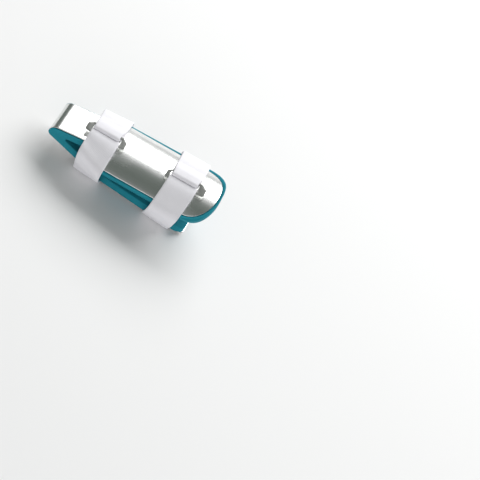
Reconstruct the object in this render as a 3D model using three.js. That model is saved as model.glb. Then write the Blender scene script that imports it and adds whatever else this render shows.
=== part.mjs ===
import * as THREE from "three";

// Finger splint: a folded strip of sheet metal with a foam lining and two straps, each closed by a flat ring.
// Millimetres. X runs from the fold at the tip to the rounded open end, Z is up, Y runs across.
// Heights are measured from the lower face of the lower leg until the last step moves the origin.

// Side profile of the outer face of the metal
const PLATE_LENGTH = 77;
const LOWER_LEG_LENGTH = 73;
const LOWER_KNEE_X = 29.5;
const LOWER_KNEE_RADIUS = 30;
const FOLD_LOW_HEIGHT = 7.8;
const FOLD_LOW_RADIUS = 4.1;
const FOLD_HIGH_HEIGHT = 13.35;
const FOLD_HIGH_RADIUS = 2.9;
const UPPER_KNEE_X = 19;
const UPPER_KNEE_HEIGHT = 18.1;
const UPPER_KNEE_RADIUS = 40;
const OPEN_END_HEIGHT = 24.8;

// Sheet metal
const SHEET_THICKNESS = 0.8;
const STRIP_WIDTH = 16.2;
const STRIP_CORNER_RADIUS = 2.0;
const TROUGH_WIDTH = 30.8;
const TROUGH_RADIUS = 27;
const WIDENING_START_X = 15.5;
const WIDENING_END_X = 29;
const BENDING_START_X = 14;
const BENDING_END_X = 24;
const ROUND_END_REACH = 12;
const ROUND_END_FULLNESS = 2.3;

// Foam lining
const FOAM_THICKNESS = 3.2;
const GLUE_GAP = 0.2;
const FOAM_APEX_RADIUS = 0.8;
const FOAM_SIDE_STRIP = 0.3;
const FOAM_SIDE_TROUGH = 1.8;
const FOAM_FLARE = 0.7;
const FOAM_FLARE_LENGTH = 12;
const FOAM_PAST_ROUND_END = 1.2;
const FOAM_SHORT_OF_STRIP_END = 0.6;

// Straps
const STRAP_WIDTH = 13.5;
const STRAP_THICKNESS = 1.0;
const STRAP_CLEARANCE = 0.25;
const STRAP_LAYER_GAP = 0.15;
const STRAP_SIDE_BULGE = 1.0;
const SHOULDER_RADIUS = 4.0;
const BOTTOM_CORNER_RADIUS = 1.5;
const BOTTOM_CORNER_SETBACK = 0.5;
const TAIL_SHARE = 0.35;
const NEAR_RAMP_SHARE = 0.97;
const LAYER_RAMP_LENGTH = 3.2;
const FREE_END_SHARE_OF_SIDE = 0.72;
const SHOULDER_ROOM = 0.6;
const FOLD_STRAP_TOP_TO_FULL_WIDTH = 7.0;
const FOLD_STRAP_BOTTOM_TO_KNEE = 5.5;
const FOLD_STRAP_FIRST_SPREAD = 0.5;
const OPEN_STRAP_TOP_TO_END = 16.5;
const OPEN_STRAP_BOTTOM_TO_LEG_END = 13.2;

// Rings
const RING_END_BAR_WIDTH = 2.2;
const RING_SLOT_SIDE_ROOM = 0.55;
const RING_SLOT_WIDTH = 2.9;
const RING_BAR_WIDTH = 1.05;
const RING_THICKNESS = 0.8;
const RING_NEAR_CUT = 0.5;
const RING_FAR_CUT_LONG = 2.4;
const RING_FAR_CUT_DEEP = 1.6;
const RING_EDGE_ROUND = 0.12;
const RING_CLEARANCE = 0.25;
const RING_FAR_BAR_LIFT = 0.5;
const TURN_INTO_SLOT = 0.3;

// Places of the straps. The first edge is the one nearer the fold.
// A spread of 1 hugs the full trough, and 0 would hug the flat strip. The slips move the ring off the middle.
const STRAP_PLACES = {
  strap_distal: {
    topX: WIDENING_END_X - FOLD_STRAP_TOP_TO_FULL_WIDTH,
    bottomX: LOWER_KNEE_X - FOLD_STRAP_BOTTOM_TO_KNEE,
    firstSpread: FOLD_STRAP_FIRST_SPREAD,
    secondSpread: 1,
    ringSlipX: 0,
    ringSlipY: -1.5,
  },
  strap_proximal: {
    topX: PLATE_LENGTH - OPEN_STRAP_TOP_TO_END,
    bottomX: LOWER_LEG_LENGTH - OPEN_STRAP_BOTTOM_TO_LEG_END,
    firstSpread: 1,
    secondSpread: 1,
    ringSlipX: 0.3,
    ringSlipY: -2.5,
  },
};

// Fineness of the faceted surfaces
const COLUMNS_ACROSS = 16;
const LEG_STEP = 2.6;
const LEAN_BACK_REACH = 3;
const FOLD_STEP = 0.7;
const ARC_STEPS = 10;
const SHOULDER_STEPS = 6;
const SIDE_STEPS = 6;
const CORNER_STEPS = 5;
const RAMP_STEPS = 6;
const NEAR_RAMP_STEPS = 11;
const CREST_CHECKS = 8;
const HALVINGS = 30;

const METAL = { color: 0xd4d7d6, roughness: 0.22, metalness: 1.0 };
const RING_METAL = { color: 0x9b9d9c, roughness: 0.35, metalness: 1.0 };
const FOAM = { color: 0x1f8296, roughness: 0.9, metalness: 0.0 };
const WEBBING = { color: 0xf4f4f6, roughness: 0.85, metalness: 0.0 };

function smooth(x, from, to) {
  const t = Math.min(1, Math.max(0, (x - from) / (to - from)));
  return t * t * (3 - 2 * t);
}

// A line of straight runs joined by tangent arcs. Its outward side is on the left of the direction of travel.
function roundedPath(corners) {
  const pieces = [];
  let start = [corners[0].x, corners[0].z];
  for (let i = 1; i < corners.length; i += 1) {
    const here = [corners[i].x, corners[i].z];
    const into = unit(subtract(here, [corners[i - 1].x, corners[i - 1].z]));
    if (i === corners.length - 1) {
      pieces.push(linePiece(start, here));
      break;
    }
    const out = unit(subtract([corners[i + 1].x, corners[i + 1].z], here));
    const turn = Math.atan2(cross(into, out), dot(into, out));
    const reach = corners[i].radius * Math.tan(Math.abs(turn) / 2);
    const arcStart = [here[0] - into[0] * reach, here[1] - into[1] * reach];
    pieces.push(linePiece(start, arcStart));
    pieces.push(arcPiece(arcStart, into, turn, corners[i].radius));
    start = [here[0] + out[0] * reach, here[1] + out[1] * reach];
  }
  const length = pieces.reduce((sum, piece) => sum + piece.length, 0);
  return { pieces, length, at: (s) => placeOn(pieces, s) };
}

function subtract(a, b) {
  return [a[0] - b[0], a[1] - b[1]];
}

function dot(a, b) {
  return a[0] * b[0] + a[1] * b[1];
}

function cross(a, b) {
  return a[0] * b[1] - a[1] * b[0];
}

function unit(a) {
  const size = Math.hypot(a[0], a[1]);
  return [a[0] / size, a[1] / size];
}

function linePiece(start, end) {
  const run = subtract(end, start);
  const direction = unit(run);
  return {
    length: Math.hypot(run[0], run[1]),
    at: (s) => [start[0] + direction[0] * s, start[1] + direction[1] * s, direction[0], direction[1]],
  };
}

function arcPiece(start, direction, turn, radius) {
  const side = Math.sign(turn);
  const centre = [start[0] - direction[1] * radius * side, start[1] + direction[0] * radius * side];
  const first = Math.atan2(start[1] - centre[1], start[0] - centre[0]);
  return {
    length: Math.abs(turn) * radius,
    at: (s) => {
      const angle = first + (side * s) / radius;
      return [
        centre[0] + radius * Math.cos(angle),
        centre[1] + radius * Math.sin(angle),
        -side * Math.sin(angle),
        side * Math.cos(angle),
      ];
    },
  };
}

// Point and outward normal at a distance along a list of pieces; past either end it runs on straight.
function placeOn(pieces, s) {
  let rest = s;
  let i = 0;
  while (i < pieces.length - 1 && rest > pieces[i].length) {
    rest -= pieces[i].length;
    i += 1;
  }
  const [x, z, dx, dz] = pieces[i].at(rest);
  return { x, z, nx: -dz, nz: dx };
}

// Corners of the side profile of the outer face, from the end of the lower leg round the fold to the open end.
function outerCorners() {
  return [
    { x: LOWER_LEG_LENGTH, z: 0 },
    { x: LOWER_KNEE_X, z: 0, radius: LOWER_KNEE_RADIUS },
    { x: 0, z: FOLD_LOW_HEIGHT, radius: FOLD_LOW_RADIUS },
    { x: 0, z: FOLD_HIGH_HEIGHT, radius: FOLD_HIGH_RADIUS },
    { x: UPPER_KNEE_X, z: UPPER_KNEE_HEIGHT, radius: UPPER_KNEE_RADIUS },
    { x: PLATE_LENGTH, z: OPEN_END_HEIGHT },
  ];
}

// The inner face of the foam: the two legs moved inward, meeting in a small arc deep inside the fold.
function foamInnerCorners(depth) {
  const outer = outerCorners();
  const lowerFlat = shiftedLine(outer[0], outer[1], depth);
  const lowerSlope = shiftedLine(outer[1], outer[2], depth);
  const upperSlope = shiftedLine(outer[3], outer[4], depth);
  const upperFlat = shiftedLine(outer[4], outer[5], depth);
  return [
    { x: lowerFlat.point[0], z: lowerFlat.point[1] },
    { ...meet(lowerFlat, lowerSlope), radius: LOWER_KNEE_RADIUS + depth },
    { ...meet(lowerSlope, upperSlope), radius: FOAM_APEX_RADIUS },
    { ...meet(upperSlope, upperFlat), radius: UPPER_KNEE_RADIUS - depth },
    { x: upperFlat.end[0], z: upperFlat.end[1] },
  ];
}

function shiftedLine(from, to, depth) {
  const direction = unit([to.x - from.x, to.z - from.z]);
  const inward = [direction[1] * depth, -direction[0] * depth];
  return {
    point: [from.x + inward[0], from.z + inward[1]],
    end: [to.x + inward[0], to.z + inward[1]],
    direction,
  };
}

function meet(a, b) {
  const share = cross(subtract(b.point, a.point), b.direction) / cross(a.direction, b.direction);
  return { x: a.point[0] + a.direction[0] * share, z: a.point[1] + a.direction[1] * share };
}

// Pieces of the profile in turn: lower flat, knee, lower slope, low bend, tip, high bend, upper slope, knee
// and upper flat.
// The foam's inner profile has the apex arc in place of the two bends and the tip.
const FOLD_FIRST_PIECE = 3;
const UPPER_FIRST_PIECE = 6;
const APEX_PIECE = 3;

function lengthTo(path, pieceNumber) {
  return path.pieces.slice(0, pieceNumber).reduce((sum, part) => sum + part.length, 0);
}

// Whether a place on the profile is past the fold, on the upper leg.
function onUpperLeg(profile, s) {
  return s > lengthTo(profile, UPPER_FIRST_PIECE);
}

// Half the flat width of the metal, and how strongly it is bent across, at a distance along the profile.
function crossShape(profile, s) {
  const x = profile.at(s).x;
  const upper = onUpperLeg(profile, s) ? 1 : 0;
  const widening = upper * smooth(x, WIDENING_START_X, WIDENING_END_X);
  const bending = upper * smooth(x, BENDING_START_X, BENDING_END_X);
  return {
    halfWidth: (STRIP_WIDTH + widening * (TROUGH_WIDTH - STRIP_WIDTH)) / 2,
    widening,
    curvature: Math.max(bending, 1e-4) / TROUGH_RADIUS,
  };
}

// A point of the bent sheet: a place on a side profile, moved inward, and turned across by an angle.
function sheetPoint(place, curvature, angle, moveIn, radiusLess) {
  const radius = 1 / curvature - radiusLess;
  const sink = radius * (1 - Math.cos(angle)) + moveIn;
  return [place.x - place.nx * sink, radius * Math.sin(angle), place.z - place.nz * sink];
}

// Distances along the profile, close together round the fold.
function profileRows(profile, from, to) {
  const foldStart = lengthTo(profile, FOLD_FIRST_PIECE);
  const foldEnd = lengthTo(profile, UPPER_FIRST_PIECE);
  return [
    ...steps(from, foldStart, LEG_STEP),
    ...steps(foldStart, foldEnd, FOLD_STEP),
    ...steps(foldEnd, to, LEG_STEP),
    to,
  ];
}

function steps(from, to, size) {
  const count = Math.max(1, Math.round((to - from) / size));
  return Array.from({ length: count }, (_, i) => from + ((to - from) * i) / count);
}

// How far the two ends stand back at a share of the half width: rounded corners below, a half oval above.
function lowerEndSetback(share, halfWidth) {
  const past = Math.max(0, Math.abs(share) * halfWidth - (halfWidth - STRIP_CORNER_RADIUS));
  return STRIP_CORNER_RADIUS - Math.sqrt(Math.max(0, STRIP_CORNER_RADIUS ** 2 - past ** 2));
}

function openEndSetback(share) {
  const left = Math.max(0, 1 - Math.abs(share) ** ROUND_END_FULLNESS);
  return ROUND_END_REACH * (1 - left ** (1 / ROUND_END_FULLNESS));
}

// Grid of distances along the profile; rows near an end lean back with its rounded outline.
function setBackRow(s, share, from, to) {
  const lowerBlend = LEAN_BACK_REACH * STRIP_CORNER_RADIUS;
  const openBlend = LEAN_BACK_REACH * ROUND_END_REACH;
  const nearLower = Math.max(0, 1 - (s - from) / lowerBlend);
  const nearOpen = Math.max(0, 1 - (to - s) / openBlend);
  return s + nearLower * lowerEndSetback(share, STRIP_WIDTH / 2) - nearOpen * openEndSetback(share);
}

function columnShares() {
  const angle = (j) => Math.PI * (j / COLUMNS_ACROSS - 0.5);
  return Array.from({ length: COLUMNS_ACROSS + 1 }, (_, j) => Math.sin(angle(j)));
}

// Closed solid between two grids of points of the same size.
function solidBetween(outer, inner) {
  const rows = outer.length;
  const columns = outer[0].length;
  const positions = [...outer.flat(2), ...inner.flat(2)];
  const second = rows * columns;
  const indices = [];
  const quad = (a, b, c, d) => indices.push(a, c, b, a, d, c);
  for (let i = 0; i < rows - 1; i += 1) {
    for (let j = 0; j < columns - 1; j += 1) {
      const a = i * columns + j;
      quad(a, a + 1, a + 1 + columns, a + columns);
      quad(second + a, second + a + columns, second + a + 1 + columns, second + a + 1);
    }
    const left = i * columns;
    const right = left + columns - 1;
    quad(left, left + columns, second + left + columns, second + left);
    quad(right, second + right, second + right + columns, right + columns);
  }
  for (let j = 0; j < columns - 1; j += 1) {
    const last = (rows - 1) * columns + j;
    quad(j, second + j, second + j + 1, j + 1);
    quad(last, last + 1, second + last + 1, second + last);
  }
  return indexedGeometry(positions, indices);
}

function indexedGeometry(positions, indices) {
  const geometry = new THREE.BufferGeometry();
  geometry.setAttribute("position", new THREE.Float32BufferAttribute(positions, 3));
  geometry.setIndex(indices);
  geometry.computeVertexNormals();
  return geometry;
}

// The metal: its outer face, and the same face moved in by the sheet thickness.
function plateGeometry() {
  const profile = roundedPath(outerCorners());
  const rows = profileRows(profile, 0, profile.length);
  const shares = columnShares();
  const face = (moveIn) => rows.map((row) => shares.map((share) => {
    const s = setBackRow(row, share, 0, profile.length);
    const { halfWidth, curvature } = crossShape(profile, s);
    return sheetPoint(profile.at(s), curvature, share * halfWidth * curvature, moveIn, moveIn);
  }));
  return solidBetween(face(0), face(SHEET_THICKNESS));
}

// The foam: its glued face follows the metal, its free face follows its own inner profile.
function foamGeometry() {
  const glued = SHEET_THICKNESS + GLUE_GAP;
  const free = glued + FOAM_THICKNESS;
  const profile = roundedPath(outerCorners());
  const inner = roundedPath(foamInnerCorners(free));
  const from = FOAM_SHORT_OF_STRIP_END;
  const to = profile.length + FOAM_PAST_ROUND_END;
  const rows = profileRows(profile, from, to);
  const shares = columnShares();
  const across = (s, share) => {
    const { halfWidth, widening, curvature } = crossShape(profile, s);
    const flare = FOAM_FLARE * smooth(s, to - FOAM_FLARE_LENGTH, to);
    const side = FOAM_SIDE_STRIP + widening * (FOAM_SIDE_TROUGH - FOAM_SIDE_STRIP) + flare;
    return { curvature, angle: share * (halfWidth + side) * curvature };
  };
  const gluedFace = rows.map((row) => shares.map((share) => {
    const s = setBackRow(row, share, from, to);
    const { curvature, angle } = across(s, share);
    return sheetPoint(profile.at(s), curvature, angle, glued, glued);
  }));
  const freeFace = rows.map((row) => shares.map((share) => {
    const s = setBackRow(row, share, from, to);
    const { curvature, angle } = across(s, share);
    return sheetPoint(inner.at(matchingPlace(profile, inner, s)), curvature, angle, 0, free);
  }));
  return solidBetween(gluedFace, freeFace);
}

// The place on the inner profile that faces one on the outer profile: leg to leg, and the fold to the apex.
function matchingPlace(profile, inner, s) {
  const foldStops = [lengthTo(profile, FOLD_FIRST_PIECE), lengthTo(profile, UPPER_FIRST_PIECE)];
  const outerStops = [0, ...foldStops, profile.length];
  const innerStops = [0, lengthTo(inner, APEX_PIECE), lengthTo(inner, APEX_PIECE + 1), inner.length];
  const leg = s < outerStops[1] ? 0 : s < outerStops[2] ? 1 : 2;
  const share = (s - outerStops[leg]) / (outerStops[leg + 1] - outerStops[leg]);
  return innerStops[leg] + share * (innerStops[leg + 1] - innerStops[leg]);
}

// Height of the outer face of the upper leg over a place along X, found by halving.
function upperHeight(profile, x) {
  let low = lengthTo(profile, UPPER_FIRST_PIECE);
  let high = profile.length;
  for (let i = 0; i < HALVINGS; i += 1) {
    const middle = (low + high) / 2;
    if (profile.at(middle).x < x) low = middle;
    else high = middle;
  }
  return profile.at(low).z;
}

// The loop shapes under the two edges of a strap. Both tops are raised alike until the straight line between
// them clears the bend of the plate, and a flat strip raises the arc that has to clear its two edges.
function strapEdges(place) {
  const profile = roundedPath(outerCorners());
  const glued = SHEET_THICKNESS + GLUE_GAP;
  const foamAngle = (TROUGH_WIDTH / 2 + FOAM_SIDE_TROUGH) / TROUGH_RADIUS;
  const troughHalf = (TROUGH_RADIUS - glued) * Math.sin(foamAngle) + SHOULDER_ROOM;
  const stripHalf = STRIP_WIDTH / 2 + FOAM_SIDE_STRIP;
  const edge = (offset, spread) => {
    const x = place.topX + offset;
    const radius = TROUGH_RADIUS / spread;
    const flatness = 1 - smooth(x, BENDING_START_X, BENDING_END_X);
    const crest = (flatness * (STRIP_WIDTH / 2) ** 2) / (2 * radius);
    return {
      topHeight: upperHeight(profile, x) + crest,
      topRadius: radius,
      halfWidth: stripHalf + spread * (troughHalf - stripHalf),
    };
  };
  const first = edge(-STRAP_WIDTH / 2, place.firstSpread);
  const second = edge(STRAP_WIDTH / 2, place.secondSpread);
  let lift = 0;
  for (let i = 1; i < CREST_CHECKS; i += 1) {
    const share = i / CREST_CHECKS;
    const line = first.topHeight + share * (second.topHeight - first.topHeight);
    lift = Math.max(lift, upperHeight(profile, place.topX + (share - 0.5) * STRAP_WIDTH) - line);
  }
  return [first, second].map((loop) => ({ ...loop, topHeight: loop.topHeight + lift }));
}

// Half of the loop that a strap hugs, in the plane across the splint, as five runs from the top centre to the
// bottom centre: the top arc, the shoulder, the side, the bottom corner and the flat bottom.
function wrapRuns(edge) {
  const topCentre = [0, edge.topHeight - edge.topRadius];
  const away = edge.topRadius - SHOULDER_RADIUS;
  const topAngle = Math.asin((edge.halfWidth - SHOULDER_RADIUS) / away);
  const shoulder = [away * Math.sin(topAngle), topCentre[1] + away * Math.cos(topAngle)];
  const corner = [STRIP_WIDTH / 2 - BOTTOM_CORNER_SETBACK, BOTTOM_CORNER_RADIUS];
  const gap = Math.hypot(shoulder[0] - corner[0], shoulder[1] - corner[1]);
  const lean = Math.atan2(shoulder[0] - corner[0], shoulder[1] - corner[1]);
  const sideAngle = Math.PI / 2 + lean - Math.asin((SHOULDER_RADIUS - BOTTOM_CORNER_RADIUS) / gap);
  const arc = (centre, radius, fromAngle, toAngle) => (share, standoff) => {
    const angle = fromAngle + (toAngle - fromAngle) * share;
    const reach = radius + standoff;
    return [centre[0] + reach * Math.sin(angle), centre[1] + reach * Math.cos(angle)];
  };
  const shoulderArc = arc(shoulder, SHOULDER_RADIUS, topAngle, sideAngle);
  const cornerArc = arc(corner, BOTTOM_CORNER_RADIUS, sideAngle, Math.PI);
  const between = (first, second) => (share, standoff) => {
    const a = first(1, standoff);
    const b = second(standoff);
    return [a[0] + (b[0] - a[0]) * share, a[1] + (b[1] - a[1]) * share];
  };
  return {
    topArcLength: topAngle * edge.topRadius,
    runs: [
      arc(topCentre, edge.topRadius, 0, topAngle),
      shoulderArc,
      between(shoulderArc, (standoff) => cornerArc(0, standoff)),
      cornerArc,
      between(cornerArc, (standoff) => [0, -standoff]),
    ],
  };
}

// Point of the loop: the whole part of the place picks the run, its sign picks the side.
function wrapPoint(wrap, place, standoff) {
  const side = Math.sign(place) || 1;
  const run = Math.min(4, Math.floor(Math.abs(place)));
  const share = Math.abs(place) - run;
  const bulge = run === 2 ? STRAP_SIDE_BULGE * Math.sin(Math.PI * share) ** 2 : 0;
  const [y, z] = wrap.runs[run](share, standoff + bulge);
  return [side * y, z];
}

// Heights of the middle of a strap layer over the surface it hugs.
function layerHeights() {
  const low = STRAP_CLEARANCE + STRAP_THICKNESS / 2;
  const second = low + STRAP_THICKNESS + STRAP_LAYER_GAP;
  const ring = STRAP_CLEARANCE + STRAP_THICKNESS + RING_CLEARANCE + RING_THICKNESS / 2;
  return { low, second, ring, turn: ring - low, farRing: ring + RING_FAR_BAR_LIFT };
}

// The middle line of a strap as a list of places on the loop and heights over it.
// It starts at the tail of the fixed end, turns round the near bar, runs once round the splint by the -Y
// side, turns round the far bar and ends with the free end down the +Y side. Past the near bar, the tail
// and the ramp over it take shares of what is left of the top arc, so they end before the shoulder.
function strapLine(wrap, slip) {
  const { low, second, ring, turn: radius, farRing } = layerHeights();
  const nearTurn = slip - RING_SLOT_WIDTH / 2 - TURN_INTO_SLOT;
  const farTurn = slip + RING_SLOT_WIDTH / 2 + TURN_INTO_SLOT;
  const nearOver = nearTurn - RING_BAR_WIDTH;
  const farOver = farTurn + RING_BAR_WIDTH;
  const topEnd = wrap.topArcLength;
  const pastNearBar = (share) => nearOver - share * (topEnd + nearOver);
  const tailEnd = pastNearBar(TAIL_SHARE);
  const turn = (at, toward, height) => Array.from({ length: ARC_STEPS + 1 }, (_, i) => {
    const angle = -Math.PI / 2 + (Math.PI * i) / ARC_STEPS;
    return [at + toward * radius * Math.cos(angle), height + radius * Math.sin(angle)];
  });
  const ramp = (from, to, fromHeight, toHeight, count = RAMP_STEPS) => {
    const shares = Array.from({ length: count - 1 }, (_, i) => (i + 1) / count);
    return shares.map((share) => [
      from + (to - from) * share,
      fromHeight + (toHeight - fromHeight) * smooth(share, 0, 1),
    ]);
  };
  const lifted = second + RING_FAR_BAR_LIFT / 2;
  const onTop = [
    [tailEnd, low], [(tailEnd + nearTurn) / 2, low],
    ...turn(nearTurn, 1, ring),
    [nearOver, ring + radius],
    ...ramp(nearOver, pastNearBar(NEAR_RAMP_SHARE), ring + radius, low, NEAR_RAMP_STEPS),
  ].map(([s, height]) => [s / topEnd, height]);
  const round = aroundPlaces().map((place) => [place, low]);
  const backOnTop = [
    [0.75 * topEnd, low], [0.5 * topEnd, low],
    [farOver + LAYER_RAMP_LENGTH, low],
    ...ramp(farOver + LAYER_RAMP_LENGTH, farOver, low, farRing - radius),
    [farOver, farRing - radius],
    ...turn(farTurn, -1, farRing),
    [farOver, farRing + radius],
    ...ramp(farOver, farOver + LAYER_RAMP_LENGTH, farRing + radius, lifted),
    [farOver + LAYER_RAMP_LENGTH, lifted],
    ...ramp(farOver + LAYER_RAMP_LENGTH, 0.6 * topEnd, lifted, second),
    [0.6 * topEnd, second], [0.8 * topEnd, second],
  ].map(([s, height]) => [s / topEnd, height]);
  const freeEnd = farSidePlaces().map((place) => [place, second]);
  return [...onTop, ...round, ...backOnTop, ...freeEnd];
}

// Places from one shoulder down, under the splint and up to the other shoulder.
function aroundPlaces() {
  const half = [];
  for (let i = 0; i <= SHOULDER_STEPS; i += 1) half.push(1 + i / SHOULDER_STEPS);
  for (let i = 1; i <= SIDE_STEPS; i += 1) half.push(2 + i / SIDE_STEPS);
  for (let i = 1; i <= CORNER_STEPS; i += 1) half.push(3 + i / CORNER_STEPS);
  return [...half.map((place) => -place), ...half.reverse()];
}

// Places of the free end, over the far shoulder and down the far side.
function farSidePlaces() {
  const places = [];
  for (let i = 0; i <= SHOULDER_STEPS; i += 1) places.push(1 + i / SHOULDER_STEPS);
  const count = Math.max(2, Math.round(SIDE_STEPS * FREE_END_SHARE_OF_SIDE));
  for (let i = 1; i <= count; i += 1) places.push(2 + (FREE_END_SHARE_OF_SIDE * i) / count);
  return places;
}

// Points on both faces of a strap along one of its edges.
function strapFaces(place, edge, towardOpenEnd) {
  const wrap = wrapRuns(edge);
  const line = strapLine(wrap, place.ringSlipY).map(([at, height]) => wrapPoint(wrap, at, height));
  const offset = (towardOpenEnd * STRAP_WIDTH) / 2;
  return line.map((point, i) => {
    const before = line[Math.max(0, i - 1)];
    const after = line[Math.min(line.length - 1, i + 1)];
    const along = unit(subtract(after, before));
    const half = STRAP_THICKNESS / 2;
    const face = (sign) => {
      const y = point[0] - sign * half * along[1];
      const z = point[1] + sign * half * along[0];
      const drop = Math.min(1, Math.max(0, 1 - z / edge.topHeight));
      return [place.topX + (place.bottomX - place.topX) * drop + offset, y, z];
    };
    return [face(1), face(-1)];
  });
}

// The strap: both edges share the same list of places, so straight lines across the width join them.
function strapGeometry(place) {
  const [firstEdge, secondEdge] = strapEdges(place);
  const first = strapFaces(place, firstEdge, -1);
  const second = strapFaces(place, secondEdge, 1);
  const one = first.map((pair, i) => [pair[0], second[i][0]]);
  const other = first.map((pair, i) => [pair[1], second[i][1]]);
  return solidBetween(other, one);
}

// Outline of the ring, its two far corners cut long and its near ones short, and its slot.
function ringShape() {
  const halfSlot = STRAP_WIDTH / 2 + RING_SLOT_SIDE_ROOM;
  const halfLength = halfSlot + RING_END_BAR_WIDTH - RING_EDGE_ROUND;
  const halfWidth = RING_SLOT_WIDTH / 2 + RING_BAR_WIDTH - RING_EDGE_ROUND;
  const shape = new THREE.Shape([
    new THREE.Vector2(-halfLength, -halfWidth + RING_NEAR_CUT),
    new THREE.Vector2(-halfLength + RING_NEAR_CUT, -halfWidth),
    new THREE.Vector2(halfLength - RING_NEAR_CUT, -halfWidth),
    new THREE.Vector2(halfLength, -halfWidth + RING_NEAR_CUT),
    new THREE.Vector2(halfLength, halfWidth - RING_FAR_CUT_DEEP),
    new THREE.Vector2(halfLength - RING_FAR_CUT_LONG, halfWidth),
    new THREE.Vector2(-halfLength + RING_FAR_CUT_LONG, halfWidth),
    new THREE.Vector2(-halfLength, halfWidth - RING_FAR_CUT_DEEP),
  ]);
  const slotLength = halfSlot + RING_EDGE_ROUND;
  const slotWidth = RING_SLOT_WIDTH / 2 + RING_EDGE_ROUND;
  shape.holes.push(new THREE.Path([
    new THREE.Vector2(-slotLength, -slotWidth),
    new THREE.Vector2(-slotLength, slotWidth),
    new THREE.Vector2(slotLength, slotWidth),
    new THREE.Vector2(slotLength, -slotWidth),
  ]));
  return shape;
}

// A point over the middle of a strap, at a distance across from the top centre and a height over the plate.
function overMiddle(place, across, height) {
  const points = strapEdges(place).map((edge) => {
    const wrap = wrapRuns(edge);
    return wrapPoint(wrap, across / wrap.topArcLength, height);
  });
  const [first, second] = points;
  const middle = new THREE.Vector3(place.topX, (first[0] + second[0]) / 2, (first[1] + second[1]) / 2);
  const slope = new THREE.Vector3(STRAP_WIDTH, second[0] - first[0], second[1] - first[1]).normalize();
  return { middle, slope };
}

// The ring lies on the slope of the trough between the layers of its strap, its far bar lifted a little.
function ringGeometry(place) {
  const geometry = new THREE.ExtrudeGeometry(ringShape(), {
    depth: RING_THICKNESS - 2 * RING_EDGE_ROUND,
    bevelEnabled: true,
    bevelThickness: RING_EDGE_ROUND,
    bevelSize: RING_EDGE_ROUND,
    bevelSegments: 1,
  });
  geometry.translate(place.ringSlipX, 0, RING_EDGE_ROUND - RING_THICKNESS / 2);
  const barMiddle = (RING_SLOT_WIDTH + RING_BAR_WIDTH) / 2;
  const { ring, farRing } = layerHeights();
  const near = overMiddle(place, place.ringSlipY - barMiddle, ring);
  const far = overMiddle(place, place.ringSlipY + barMiddle, farRing);
  const centre = near.middle.clone().add(far.middle).multiplyScalar(0.5);
  const alongX = near.slope.clone().add(far.slope).normalize();
  const across = far.middle.clone().sub(near.middle);
  across.addScaledVector(alongX, -across.dot(alongX)).normalize();
  const up = new THREE.Vector3().crossVectors(alongX, across);
  geometry.applyMatrix4(new THREE.Matrix4().makeBasis(alongX, across, up).setPosition(centre));
  return geometry;
}

function piece(name, geometry, look) {
  const mesh = new THREE.Mesh(geometry, new THREE.MeshStandardMaterial(look));
  mesh.name = name;
  return mesh;
}

// All pieces, then the origin moved to the middle of the bottom of the whole splint.
function finger_splint() {
  const group = new THREE.Group();
  group.name = "finger_splint";
  group.add(
    piece("splint_plate", plateGeometry(), METAL),
    piece("foam_lining", foamGeometry(), FOAM),
    piece("strap_distal", strapGeometry(STRAP_PLACES.strap_distal), WEBBING),
    piece("strap_proximal", strapGeometry(STRAP_PLACES.strap_proximal), WEBBING),
    piece("buckle_distal", ringGeometry(STRAP_PLACES.strap_distal), RING_METAL),
    piece("buckle_proximal", ringGeometry(STRAP_PLACES.strap_proximal), RING_METAL),
  );
  const box = new THREE.Box3().setFromObject(group);
  const middle = box.getCenter(new THREE.Vector3());
  group.children.forEach((mesh) => mesh.geometry.translate(-middle.x, -middle.y, -box.min.z));
  return group;
}

export default finger_splint();
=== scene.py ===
"""Finger splint: bent sheet metal, its foam lining and two straps with flat rings, drawn over the CAD solids.

Shapes are worked out in millimetres: x from the fold, y across, z above the lower face of the lower leg.
One step at the end moves them into the frame and turns them into metres.
"""

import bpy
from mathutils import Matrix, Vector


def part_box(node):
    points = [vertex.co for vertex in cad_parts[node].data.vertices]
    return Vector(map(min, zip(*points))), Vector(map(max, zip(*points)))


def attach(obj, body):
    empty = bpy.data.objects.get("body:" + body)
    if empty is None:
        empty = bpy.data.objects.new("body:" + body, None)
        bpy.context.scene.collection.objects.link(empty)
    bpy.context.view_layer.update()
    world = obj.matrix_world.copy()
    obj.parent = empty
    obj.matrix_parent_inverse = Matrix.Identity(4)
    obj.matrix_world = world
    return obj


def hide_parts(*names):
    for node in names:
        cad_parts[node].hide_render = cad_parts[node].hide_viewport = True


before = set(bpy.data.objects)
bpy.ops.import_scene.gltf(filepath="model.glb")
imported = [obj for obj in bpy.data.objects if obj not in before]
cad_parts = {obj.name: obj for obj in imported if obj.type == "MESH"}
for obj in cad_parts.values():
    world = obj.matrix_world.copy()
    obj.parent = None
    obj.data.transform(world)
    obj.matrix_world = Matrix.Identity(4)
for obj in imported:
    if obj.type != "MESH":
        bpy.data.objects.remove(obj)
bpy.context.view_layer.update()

import bpy
import numpy as np
from mathutils import Vector

bl_info = {
    "name": "Finger Splint",
    "version": (1, 0, 0),
    "blender": (4, 5, 0),
    "location": "View3D > Sidebar > Splint",
    "description": "Builds a folded finger splint with its foam lining, straps and rings on a pale floor",
    "category": "Add Mesh",
}

MM = 0.001

# Side profile of the outer face of the metal
PLATE_LENGTH = 77.0
LOWER_LEG_LENGTH = 73.0
LOWER_KNEE_X = 29.5
OUTER_CORNERS = (
    (LOWER_LEG_LENGTH, 0.0, 0.0),
    (LOWER_KNEE_X, 0.0, 30.0),
    (0.0, 7.8, 2.9),
    (0.0, 13.35, 4.05),
    (19.0, 18.1, 40.0),
    (PLATE_LENGTH, 24.8, 0.0),
)
FOLD_FIRST_RUN = 3
UPPER_FIRST_RUN = 6
APEX_RUN = 3

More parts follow.
